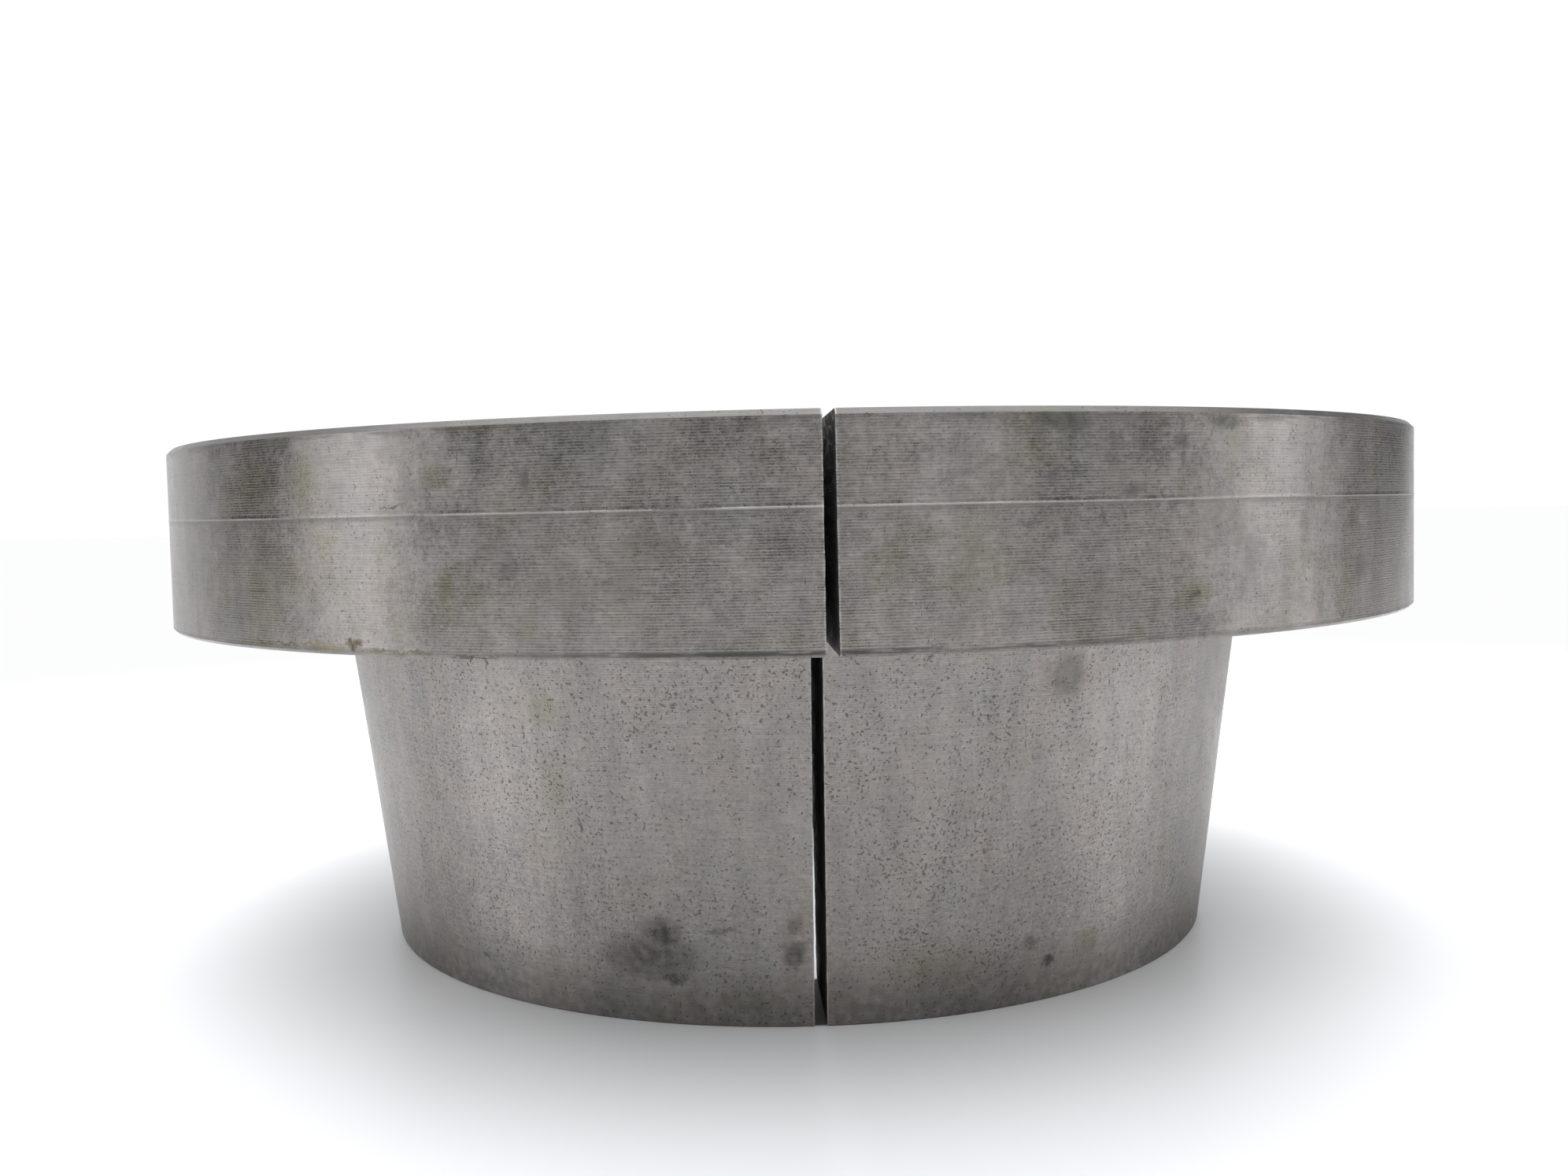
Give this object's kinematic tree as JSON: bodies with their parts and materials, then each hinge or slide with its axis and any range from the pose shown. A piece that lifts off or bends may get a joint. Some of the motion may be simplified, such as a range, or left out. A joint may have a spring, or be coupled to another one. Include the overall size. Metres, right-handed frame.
{
  "type": "flanged split taper bushing",
  "caption": "Flanged split taper bushing with a sawn slit, a keyed clamping bore, flange screw holes and a radial key set screw.",
  "frame": {"origin": "centre of the bore at the small end's face, the lowest point of the part when it stands on that face", "axes": "+Z along the bore axis from the small end to the flange; the saw slit faces -Y; the keyseat and the key set screw are at +Y"},
  "size_m": [0.1589, 0.1589, 0.0619],
  "materials": {
    "turned_steel": "fine turned, satin, with oil stains and small pits",
    "black_oxide_steel": "black oxide, slightly oily"
  },
  "bodies": {
    "bushing": {"bushing_body": "turned_steel"},
    "set_screw": {"key_set_screw": "black_oxide_steel"}
  },
  "joints": [
    {"name": "set_screw_travel", "type": "slide", "parent": "bushing", "child": "set_screw", "axis": [0, 1, 0], "range_m": [-0.006, 0.025]}
  ]
}
